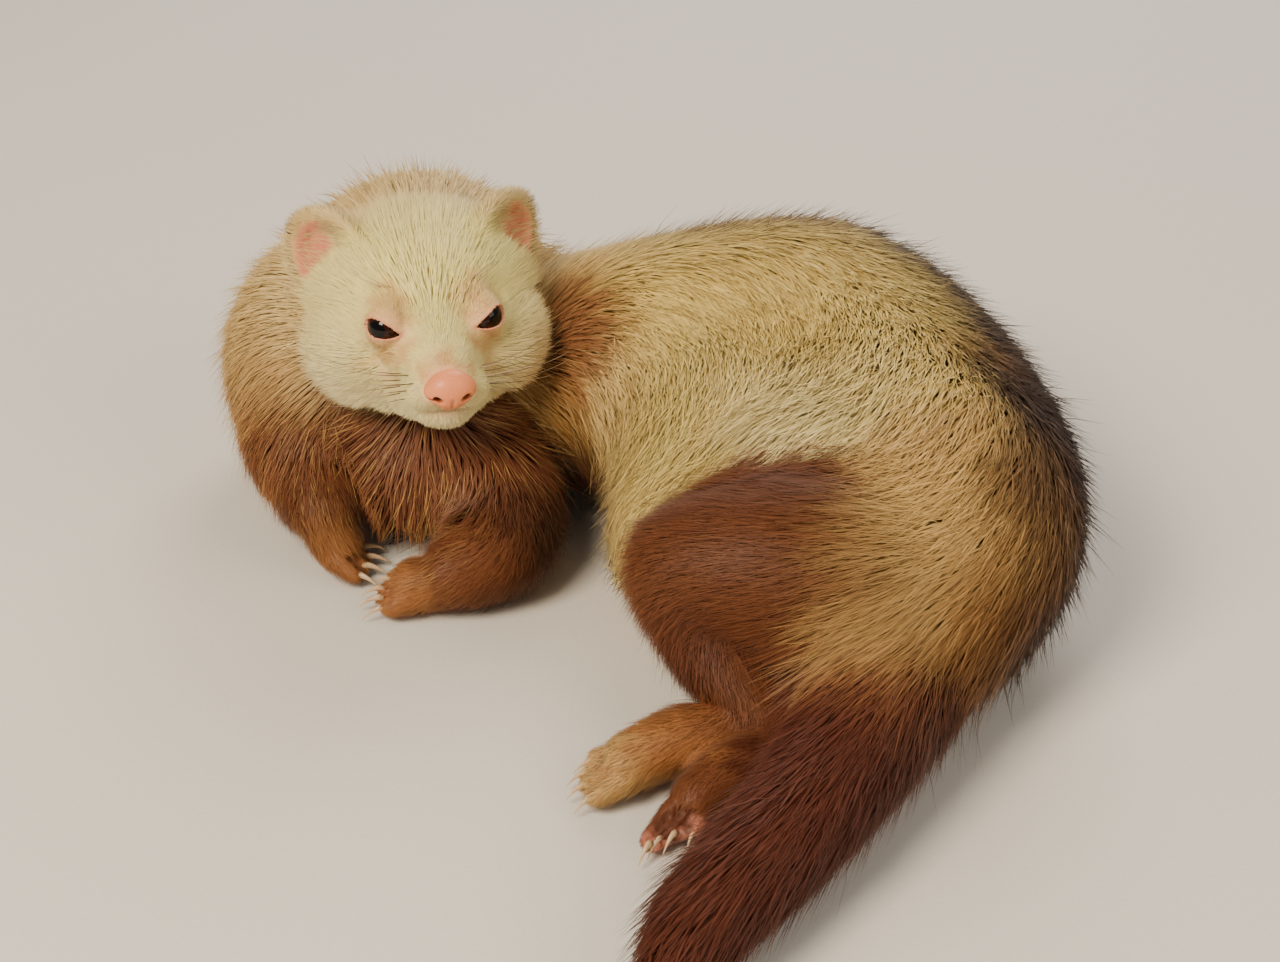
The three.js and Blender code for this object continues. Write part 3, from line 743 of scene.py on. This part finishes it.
# The eyes are dark and wet, almost black, with a brown iris and a pupil that is oval along the lids. Each
# is a ball that lies loose in its hollow, held by the lids.
def make_eye(hand, sign):
    centre, across, up, out = eye_axes(sign)
    bpy.ops.object.select_all(action="DESELECT")
    bpy.ops.mesh.primitive_uv_sphere_add(segments=48, ring_count=32, radius=1)
    eye = bpy.context.object
    eye.name = f"eyeball_{hand}"
    unit = read_rows(eye.data.vertices, "co")
    bulge = 1 + 0.05 * blend_step(unit[:, 2], 0.6, 1)
    ball = unit * bulge[:, None] * EYE_RADIUS
    write_places(eye.data, from_head(ball @ (across, up, out) + np.array(centre)))
    bpy.ops.object.shade_smooth()
    material, nodes, links = new_material(f"eye {hand}")
    shader = nodes["Principled BSDF"]
    coordinates = nodes.new("ShaderNodeTexCoord")
    centred = nodes.new("ShaderNodeMapping")
    centred.vector_type = "TEXTURE"
    world_axes = [HEAD.to_3x3() @ axis for axis in (across, up, out)]
    frame_turn = Matrix([list(axis) for axis in world_axes]).transposed()
    centred.inputs["Location"].default_value = placed(from_head([tuple(centre)]))[0]
    centred.inputs["Rotation"].default_value = frame_turn.to_euler()
    centred.inputs["Scale"].default_value = (1.25 * EYE_RADIUS * MM, EYE_RADIUS * MM, 4 * MM)
    flat = nodes.new("ShaderNodeVectorMath")
    flat.operation = "MULTIPLY"
    flat.inputs[1].default_value = (1, 1, 0)
    away = nodes.new("ShaderNodeVectorMath")
    away.operation = "LENGTH"
    fibres = nodes.new("ShaderNodeTexNoise")
    fibres.inputs["Scale"].default_value = 9
    iris = nodes.new("ShaderNodeValToRGB")
    iris.color_ramp.elements[0].position = 0.36
    iris.color_ramp.elements[0].color = colour("050303")
    iris.color_ramp.elements[1].position = 0.46
    iris.color_ramp.elements[1].color = colour("33170c")
    limbus = iris.color_ramp.elements.new(0.85)
    limbus.color = colour("120906")
    varied = nodes.new("ShaderNodeMix")
    varied.data_type = "RGBA"
    varied.blend_type = "MULTIPLY"
    varied.inputs["Factor"].default_value = 0.5
    links.new(coordinates.outputs["Object"], centred.inputs["Vector"])
    links.new(centred.outputs["Vector"], flat.inputs[0])
    links.new(flat.outputs["Vector"], away.inputs[0])
    links.new(away.outputs["Value"], iris.inputs["Fac"])
    links.new(centred.outputs["Vector"], fibres.inputs["Vector"])
    links.new(iris.outputs["Color"], varied.inputs["A"])
    links.new(fibres.outputs["Color"], varied.inputs["B"])
    links.new(varied.outputs["Result"], shader.inputs["Base Color"])
    shader.inputs["Roughness"].default_value = 0.05
    shader.inputs["IOR"].default_value = 1.36
    eye.data.materials.append(material)
    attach(eye, "root")
    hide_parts(f"eye_{hand}")


for hand, sign in HANDS.items():
    make_eye(hand, sign)

# The nose is a moist pink pad of bare skin with a comma of nostril on each side and a groove down its
# middle. It grows on the end of the muzzle.
NOSE_AT = (0, 35.2, -3.6)
NOSE_RADII = (6.9, 4.6, 5.4)
NOSTRIL_AT = (3.6, 38.6, -4.6)
bpy.ops.object.select_all(action="DESELECT")
bpy.ops.mesh.primitive_uv_sphere_add(segments=96, ring_count=64, radius=1)
nose = bpy.context.object
nose.name = "nose_pad"
unit = read_rows(nose.data.vertices, "co")
pad = unit * NOSE_RADII
pad[:, 0] *= 1 - 0.2 * blend_step(unit[:, 2], 0, -1)
pad[:, 2] *= 1 - 0.12 * blend_step(np.abs(unit[:, 0]), 0.3, 1)
pad += NOSE_AT
hole = np.zeros(len(pad))
for sign in HANDS.values():
    beside = (pad[:, 0] - sign * NOSTRIL_AT[0]) * sign
    below = pad[:, 2] - NOSTRIL_AT[2]
    comma = np.hypot(beside / 1.25, (below - 0.35 * beside) / 0.95)
    slit = np.hypot((beside - 1.6) / 1.7, (below + 0.2) / 0.45)
    hole = np.maximum(hole, 1 - blend_step(comma, 0.55, 1.15))
    hole = np.maximum(hole, 0.8 * (1 - blend_step(slit, 0.5, 1.1)))
hole *= unit[:, 1] > 0.1
groove = np.exp(-((pad[:, 0] / 0.45) ** 2)) * (unit[:, 1] > 0) * blend_step(pad[:, 2], -3.5, -5.5)
pad[:, 1] -= 2.6 * hole + 0.5 * groove
write_places(nose.data, from_head(pad))
bpy.ops.object.shade_smooth()
# The nostrils are painted near black and the middle groove painted darker: painted shade in these hollows.
pink, nostril_shade = (np.array(colour(code)[:3]) for code in ("ee8f5c", "4a1d18"))
pink = pink * (1 - hole[:, None]) + nostril_shade * hole[:, None]
pink *= (1 - 0.25 * groove)[:, None]
write_tone(nose.data, pink)
nose_material, nose_shader = streaked_material("nose", 2600, 0.35, 0.6)
nose_shader.inputs["Subsurface Weight"].default_value = 0.2
nose_shader.inputs["Subsurface Radius"].default_value = (0.003, 0.001, 0.0007)
nose_shader.inputs["Coat Weight"].default_value = 0.35
nose_shader.inputs["Coat Roughness"].default_value = 0.3
nose.data.materials.append(nose_material)
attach(nose, "root")
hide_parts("nose")

# Each claw is a slim curved horn that grows from the end of its toe and bends down to the floor.
CLAW_LENGTHS = {"forepaw_left": 7, "forepaw_right": 7.5, "hindfoot_left": 5.5, "hindfoot_right": 5}
CLAW_ROOT = 1.15


def make_claw(name, toe, length):
    start, end = np.array(toe[0][:3]), np.array(toe[1][:3])
    along = end - start
    along[2] = 0
    along /= np.linalg.norm(along)
    bpy.ops.object.select_all(action="DESELECT")
    bpy.ops.mesh.primitive_cone_add(vertices=12, radius1=1, radius2=0.12, depth=1, location=(0, 0, 0.5))
    claw = bpy.context.object
    claw.name = name
    bpy.ops.object.transform_apply(location=True)
    bpy.ops.object.mode_set(mode="EDIT")
    bpy.ops.mesh.select_all(action="SELECT")
    bpy.ops.mesh.subdivide(number_cuts=4)
    bpy.ops.object.mode_set(mode="OBJECT")
    unit = read_rows(claw.data.vertices, "co")
    share = unit[:, 2]
    across = np.array([along[1], -along[0], 0])
    root = end + 0.3 * toe[1][3] * along
    height = root[2] + 0.6 * np.sin(share * 1.6) * 1.5 - (root[2] - 0.9) * share**1.8
    centre = root + share[:, None] * length * along
    centre[:, 2] = height
    body = centre + unit[:, :1] * 0.8 * CLAW_ROOT * across + unit[:, 1:2] * CLAW_ROOT * np.array([0, 0, 1])
    body[:, 2] = np.maximum(body[:, 2], 0.25)
    write_places(claw.data, body)
    return claw


def flecked_material(name, scale, stops, roughness):
    """A hard smooth stuff whose colour runs in flecks between two tones."""
    material, nodes, links = new_material(name)
    shader = nodes["Principled BSDF"]
    coordinates = nodes.new("ShaderNodeTexCoord")
    flecks = nodes.new("ShaderNodeTexNoise")
    flecks.inputs["Scale"].default_value = scale
    ramp = nodes.new("ShaderNodeValToRGB")
    for element, (position, code) in zip(ramp.color_ramp.elements, stops):
        element.position = position
        element.color = colour(code)
    links.new(coordinates.outputs["Object"], flecks.inputs["Vector"])
    links.new(flecks.outputs["Fac"], ramp.inputs["Fac"])
    links.new(ramp.outputs["Color"], shader.inputs["Base Color"])
    shader.inputs["Roughness"].default_value = roughness
    return material


claws = [
    make_claw(f"claw_{name}_{i + 1}", toe, CLAW_LENGTHS[name])
    for name, (sole, toes) in FEET.items()
    for i, toe in enumerate(toes)
]
horn = flecked_material("claw horn", 1400, ((0, "b88f68"), (1, "dec8a4")), 0.35)
for claw in claws:
    claw.data.materials.append(horn)
    for polygon in claw.data.polygons:
        polygon.use_smooth = True
    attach(claw, "root")

# The coat is fine tufts of wool with longer guard hairs through them, and short straight hair on the head,
# legs and feet. It lies back from the nose, down from the crown and along the spine, limbs and tail.
RANDOM = np.random.default_rng(11)
CROWN = from_head([(0, 6, 12)])[0]
CURL_MIDDLE = np.array((-32, -8, 0))
FLANK_LINE = 115
SINK = 0.5


def unit_rows(vectors):
    return vectors / np.maximum(np.linalg.norm(vectors, axis=1), 1e-9)[:, None]


def way_of(name, beads, which, points):
    """The lie of the coat of one string or mass at each place."""
    if name == "neck":
        lower = blend_step(points[:, 2], 60, 46)[:, None]
        back = unit_rows(np.gradient(beads[:, :3], axis=0))[which]
        return back * (1 - lower) - np.array((0, 0, 1)) * lower
    if name == "chest":
        return 0.35 * unit_rows(points - CROWN) + (0, 0, -1)
    if name in ("spine", "flank"):
        outward = (points - CURL_MIDDLE) * (1, 1, 0)
        away = np.linalg.norm(outward, axis=1)
        bead_away = np.linalg.norm((beads[which, :3] - CURL_MIDDLE)[:, :2], axis=1)
        line = bead_away if name == "spine" else FLANK_LINE
        around = np.cross(outward, (0, 0, 1)) / away[:, None]
        spread = np.clip((away - line - 45) / 100, -1, 0)[:, None]
        return 0.8 * around + 0.6 * spread * outward / away[:, None]
    return unit_rows(np.gradient(beads[:, :3], axis=0))[which]


def head_fringe(local):
    """1 round the back edge of the cheeks and crown, where the hair is longer, and 0 on the face."""
    around = np.hypot(local[:, 0] / 30, (local[:, 2] + 2) / 24)
    return blend_step(around, 0.7, 1) * blend_step(-local[:, 1], -12, 6)


def lie_and_depth(points):
    """The lie of the coat, its depth and the string or mass that carries it, at each place."""
    distances, ways, depths, names = [], [], [], []
    for name, beads in carriers.items():
        away, which = gap_to(points, beads[:, :3], beads[:, 3] - beads[:, 4])
        distances.append(away)
        depths.append(beads[which, 4])
        ways.append(unit_rows(way_of(name, beads, which, points)))
        names.append(name)
    local = to_head(points)
    turn = np.array(HEAD.to_3x3())
    head_way = unit_rows(local - (0, 34, -3))
    for sign in HANDS.values():
        from_eye = local - np.array(eye_axes(sign)[0])
        beside = 0.35 * np.exp(-((np.linalg.norm(from_eye, axis=1) / 8) ** 4))
        head_way += unit_rows(from_eye) * beside[:, None]
    away = np.full(len(points), 1e9)
    depth = np.zeros(len(points))
    for at, radii, coat in SKULL:
        inner = np.array(radii) - coat
        gap = (np.linalg.norm((local - at) / inner, axis=1) - 1) * inner.min()
        depth = np.where(gap < away, coat, depth)
        away = np.minimum(gap, away)
    distances.append(away)
    depths.append(depth * (1 + 0.9 * head_fringe(local)))
    ways.append(unit_rows(head_way) @ turn.T)
    names.append("head")
    for hand, sign in HANDS.items():
        ear = ear_local(points, sign)
        distances.append((np.linalg.norm(ear / EAR_RADII, axis=1) - 1) * 4 - 2)
        depths.append(np.full(len(points), 1.7))
        matrix = np.array(ear_matrix(sign))[:3, :3]
        ways.append(np.tile(unit_rows(np.array([(0.5 * sign, -0.1, 0.8)])) @ matrix.T, (len(points), 1)))
        names.append("ear_" + hand)
    distances, depths, ways = np.array(distances), np.array(depths), np.array(ways)
    reach = 1.2 + 0.7 * depths[distances.argmin(axis=0), np.arange(len(points))]
    weights = np.exp(-(distances - distances.min(axis=0)) / reach)
    weights /= weights.sum(axis=0)
    lie = unit_rows(np.einsum("gn,gnc->nc", weights, ways) + (0, 0, -0.12))
    return lie, (weights * depths).sum(axis=0), np.array(names)[weights.argmax(axis=0)]


COAT_REGIONS = {"neck": "ruff", "chest": "ruff", "spine": "trunk", "flank": "trunk", "tail": "tail"}
COAT_REGIONS |= {"head": "head", "ear_left": "head", "ear_right": "head"}

mesh = skin.data
mesh.calc_loop_triangles()
corners = read_rows(mesh.loop_triangles, "vertices", kind=np.int32)
corner_loops = read_rows(mesh.loop_triangles, "loops", kind=np.int32)
bake_map = read_rows(mesh.uv_layers["OFBake"].uv, "vector", width=2)
places = read_places(mesh)
normals = read_normals(mesh)
triangles = places[corners]
edges = triangles[:, 1:] - triangles[:, :1]
areas = 0.5 * np.linalg.norm(np.cross(edges[:, 0], edges[:, 1]), axis=1)
middles = triangles.mean(axis=1)
facings = unit_rows(normals[corners].mean(axis=1))
middle_lie, middle_depth, middle_names = lie_and_depth(middles)
middle_regions = np.array([COAT_REGIONS.get(name, "legs") for name in middle_names])
middle_head = to_head(middles)
middle_fringe = head_fringe(middle_head)
middle_trim = np.ones(len(middles))
furred = 1 - 0.93 * ear_cup(middles) * (facings @ EAR_FRONT > 0.1)
furred *= np.where((facings[:, 2] < -0.5) & (middles[:, 2] < 25), 0.35, 1)
furred *= blend_step(gap_to(middles, PAD_PLACES, np.full(4, 1.5))[0], 0, 2)
furred *= blend_step(gap_to(middles, toe_gaps, np.zeros(len(toe_gaps)))[0], 1.2, 2.4)
for sign in HANDS.values():
    near_eye = np.linalg.norm(middle_head - np.array(eye_axes(sign)[0]), axis=1) < 12
    furred *= np.where(near_eye, blend_step(lid_ring(middle_head, sign), 1.15, 1.7), 1)
    middle_trim *= np.where(near_eye, 0.3 + 0.7 * blend_step(lid_ring(middle_head, sign), 1.3, 3.4), 1)
furred *= blend_step(np.linalg.norm((middle_head - NOSE_AT) / NOSE_RADII, axis=1), 0.98, 1.25)
mouth_away, _ = gap_to(middle_head, mouth_curve, np.zeros(len(mouth_curve)))
furred *= blend_step(mouth_away, 0.6, 1.5)
skin_tree = BVHTree.FromPolygons(places.tolist(), corners.tolist())

# Each kind of hair has its count, the regions it grows on, its length, width and standing height for a
# depth of coat, how its tone runs from the wool to its tip, and how strongly it draws together in locks.
KINDS = {
    "short": {
        "count": 118000, "regions": ("head", "legs"), "thick_with": 0.6, "tip_tone": 1, "dark_share": 1,
        "length": (2.5, 0), "width": (0.055, 0.21), "height": (0.72, 0.25), "locks": (9, 0.1),
        "softness": 0.85, "bent": False,
    },
    "wool": {
        "count": 75000, "regions": ("ruff", "trunk", "tail"), "thick_with": 0.06, "tip_tone": 1,
        "dark_share": 1, "length": (2.3, 3), "width": (0.042, 0.22), "height": (0.9, 0.08),
        "locks": (7, 0.08), "softness": 0.9, "bent": True,
    },
    "guard": {
        "count": 24000, "regions": ("ruff", "trunk", "tail", "legs"), "thick_with": 0.1, "tip_tone": 2,
        "dark_share": 0.45, "length": (2.4, 3.0), "width": (0.012, 0.13), "height": (1.2, 0.3),
        "locks": (5, 0.15), "softness": 0.75, "bent": True,
    },
}


def follow_skin(points, heights):
    """The points set at those heights over the nearest skin."""
    kept = []
    for point, height in zip(points.tolist(), heights.tolist()):
        spot, normal, _, _ = skin_tree.find_nearest(point)
        kept.append(spot + normal * height)
    return np.array(kept)


def draw_together(ends, depth, every, pull):
    """How each end moves toward that of the nearest leading tuft."""
    leaders = np.arange(0, len(ends), every)
    tree = KDTree(len(leaders))
    for i, leader in enumerate(leaders):
        tree.insert(ends[leader], i)
    tree.balance()
    nearest = np.array([leaders[tree.find(point)[1]] for point in ends.tolist()])
    gap = np.linalg.norm(ends[nearest] - ends, axis=1) / (0.8 * depth + 1.2)
    return (ends[nearest] - ends) * (pull * np.exp(-(gap**2)))[:, None]


STRAY = 0.13
ODD_SHARE, ODD_HEIGHT = 0.04, 1.35
TAIL_THICKER, TAIL_FLATTER, TAIL_CALM = 1.6, 0.8, 0.3
LOWEST = 0.2
HALF_PATCH = 0.0015


def draw_tufts(kind):
    """The corners, normals, bake map places, tones and regions of one kind of tufts."""
    share = 1
    chance = areas * furred / (1 + kind["thick_with"] * middle_depth)
    chance = chance * np.isin(middle_regions, kind["regions"])
    chance = chance * np.where(middle_regions == "tail", TAIL_THICKER, 1)
    chosen = RANDOM.choice(len(areas), size=int(kind["count"] * share), p=chance / chance.sum())
    mix = RANDOM.dirichlet((1, 1, 1), len(chosen))[:, :, None]
    roots = (triangles[chosen] * mix).sum(axis=1)
    up = unit_rows((normals[corners[chosen]] * mix).sum(axis=1))
    spot = (bake_map[corner_loops[chosen]] * mix).sum(axis=1)
    lie, depth, regions = middle_lie[chosen], middle_depth[chosen], middle_regions[chosen]
    along = unit_rows(lie - up * (lie * up).sum(axis=1)[:, None])
    side = np.cross(up, along)
    along = unit_rows(along + side * RANDOM.normal(0, STRAY, (len(roots), 1)))
    side = np.cross(up, along)
    long = (kind["length"][0] * depth + kind["length"][1]) * RANDOM.uniform(0.7, 1.2, len(roots))
    flare = middle_fringe[chosen] * (regions == "head")
    long *= middle_trim[chosen]
    long *= 1 - 0.35 * flare
    height, unevenness = kind["height"]
    tall = height * depth * RANDOM.uniform(1 - unevenness, 1 + unevenness, len(roots))
    tall *= np.where(RANDOM.random(len(roots)) < ODD_SHARE, ODD_HEIGHT, 1) * (1 + 0.7 * flare)
    calm = np.where(regions == "tail", TAIL_CALM, 1)[:, None]
    tall *= np.where(regions == "tail", TAIL_FLATTER, 1) * middle_trim[chosen]
    wide = (kind["width"][0] * depth + kind["width"][1]) * RANDOM.uniform(0.75, 1.25, len(roots))
    root = roots - up * SINK
    marks = marking(roots + along * (0.3 * long)[:, None])
    shine = RANDOM.uniform(0.94, 1.06, len(roots))[:, None]
    coloured = RANDOM.random((len(roots), 1)) < kind["dark_share"]
    wool, end = marks[:, 0] * shine, np.where(coloured, marks[:, kind["tip_tone"]], marks[:, 1]) * shine
    half, rise = side * (0.5 * wide)[:, None], up * (0.35 * wide)[:, None]
    if kind["bent"]:
        middle = follow_skin(roots + along * (0.45 * long)[:, None], 0.6 * tall)
        tip = follow_skin(middle + unit_rows(middle - roots) * (0.55 * long)[:, None], tall)
        pull = draw_together(tip, depth, *kind["locks"]) * calm
        tip += pull
        middle += 0.35 * pull
        verts = [root + 0.7 * half, root + rise, root - 0.7 * half]
        verts += [middle + half, middle + rise, middle - half, tip]
        # The roots are 0.92 of the wool's tone, as painted shade deep in the coat.
        tones = [0.92 * wool] * 3 + [0.6 * wool + 0.4 * end] * 3 + [end]
    else:
        tip = roots + along * long[:, None] + up * tall[:, None]
        tip += draw_together(tip, depth, *kind["locks"])
        verts = [root + half, root + rise, root - half, tip]
        # The roots are 0.92 of the wool's tone, as painted shade deep in the coat.
        tones = [0.92 * wool] * 3 + [end]
    verts = np.stack(verts, axis=1)
    verts[:, :, 2] = np.maximum(verts[:, :, 2], LOWEST)
    round_side = np.stack([side, up, -side] * (2 if kind["bent"] else 1) + [up], axis=1)
    soft_normals = kind["softness"] * up[:, None] + (1 - kind["softness"]) * round_side
    order = np.argsort(roots[:, 0] + roots[:, 1] * 0.3)
    patch = HALF_PATCH * np.array([(-1, -1), (0, 0.6), (1, -1), (-0.6, 0), (0, 1), (0.6, 0), (0, 1)])
    patch = patch if kind["bent"] else patch[[0, 1, 2, 6]]
    tones = np.stack(tones, axis=1)
    return verts[order], soft_normals[order], (spot[:, None] + patch)[order], tones[order], regions[order]


RING_FACES = [(0, 2, 1)]
SPIKE_FACES = [(0, 2, 1)]
for s in range(3):
    n = (s + 1) % 3
    SPIKE_FACES.append((s, n, 3))
    RING_FACES += [(s, n, n + 3), (s, n + 3, s + 3), (s + 3, n + 3, 6)]

coat_material, coat_shader = streaked_material("coat", 500, 0.3, 0.15)
coat_shader.inputs["Sheen Weight"].default_value = 0.1
coat_shader.inputs["Specular IOR Level"].default_value = 0.3
COAT_SLOTS = {"head": "coat_face", "ruff": "coat_ruff", "trunk": "coat_cream"}
COAT_SLOTS |= {"legs": "coat_brown", "tail": "coat_dark"}
MOST_TRIANGLES = 190000


def make_coat(name, slot, template, verts, soft_normals, spots, tones):
    count, each = verts.shape[:2]
    faces = (np.array(template)[None] + each * np.arange(count)[:, None, None]).reshape(-1, 3)
    mesh = bpy.data.meshes.new(name)
    mesh.from_pydata(placed(verts.reshape(-1, 3)), [], faces)
    mesh.polygons.foreach_set("use_smooth", np.ones(len(faces), bool))
    write_tone(mesh, tones.reshape(-1, 3))
    layer = mesh.uv_layers.new(name="OFBake")
    layer.uv.foreach_set("vector", spots.reshape(-1, 2)[faces.ravel()].ravel())
    mesh.normals_split_custom_set_from_vertices(unit_rows(soft_normals.reshape(-1, 3)))
    coat = bpy.data.objects.new(name, mesh)
    bpy.context.scene.collection.objects.link(coat)
    mesh.materials.append(coat_material)
    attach(coat, "root")


for kind_name, kind in KINDS.items():
    drawn = draw_tufts(kind)
    template = RING_FACES if kind["bent"] else SPIKE_FACES
    for region, slot in COAT_SLOTS.items():
        rows = np.flatnonzero(drawn[4] == region)
        parts = math.ceil(len(rows) * len(template) / MOST_TRIANGLES)
        for i, part in enumerate(np.array_split(rows, max(parts, 1))):
            if len(part):
                name = f"{kind_name}_{region}_{i + 1}"
                make_coat(name, slot, template, *(values[part] for values in drawn[:4]))

# Whiskers are stiff tapering hairs that sweep back from the pads of the muzzle, with a few over the eyes.
# Each is rooted a little under the skin.
WHISKERS = [
    (8.6, 29, -4, 34, 0.25), (9.6, 26, -3, 36, 0.45), (10.2, 23, -4, 33, 0.6), (9, 28.5, -6, 33, 0.05),
    (10.2, 25, -6, 36, 0.15), (10.8, 21.5, -6.5, 30, 0.3), (8.8, 28, -8.4, 27, -0.2),
    (10, 24, -8.8, 28, -0.15), (10.4, 20, -9, 24, -0.05), (9, 8, 13.5, 17, 1.3), (11, 6, 13, 15, 1.1),
]
WHISKER_RADIUS = 0.15
WHISKER_STOPS = 9
WHISKER_SIDES = 5


def whisker_path(sign, x, y, z, length, lift):
    """The middle line of one whisker, from just under the skin to its tip."""
    out = np.array((sign * 0.95, 0.16, 0.3 * lift))
    bend = np.array((sign * -0.12, -0.62, 0.2 * lift - 0.14))
    share = np.linspace(0, 1, WHISKER_STOPS)[:, None]
    path = np.array((sign * x, y, z)) + out * length * share + bend * length * share**2
    return from_head(path - out * 1.2 * (1 - share))


whisker_verts, whisker_faces = [], []
for path in [whisker_path(sign, *row) for sign in HANDS.values() for row in WHISKERS]:
    first = len(whisker_verts)
    ways = unit_rows(np.gradient(path, axis=0))
    side = unit_rows(np.cross(ways, (0, 0, 1)))
    rise = np.cross(side, ways)
    for stop in range(WHISKER_STOPS):
        radius = WHISKER_RADIUS * (1 - 0.85 * stop / (WHISKER_STOPS - 1))
        for a in np.arange(WHISKER_SIDES) * math.tau / WHISKER_SIDES:
            whisker_verts.append(path[stop] + radius * (side[stop] * math.cos(a) + rise[stop] * math.sin(a)))
    for ring in range(first, first + (WHISKER_STOPS - 1) * WHISKER_SIDES, WHISKER_SIDES):
        for s in range(WHISKER_SIDES):
            n = (s + 1) % WHISKER_SIDES
            whisker_faces.append((ring + s, ring + n, ring + WHISKER_SIDES + n, ring + WHISKER_SIDES + s))
    whisker_faces.append(tuple(first + s for s in reversed(range(WHISKER_SIDES))))
    whisker_faces.append(tuple(len(whisker_verts) - WHISKER_SIDES + s for s in range(WHISKER_SIDES)))
mesh = bpy.data.meshes.new("whiskers")
mesh.from_pydata(placed(whisker_verts).tolist(), [], whisker_faces)
whiskers = bpy.data.objects.new("whiskers", mesh)
bpy.context.scene.collection.objects.link(whiskers)
hair = flecked_material("whisker", 60, ((0.4, "3b2a20"), (0.62, "b59b7a")), 0.4)
whiskers.data.materials.append(hair)
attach(whiskers, "root")

# The box round the dressed animal, leaving out the floor.
low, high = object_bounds()
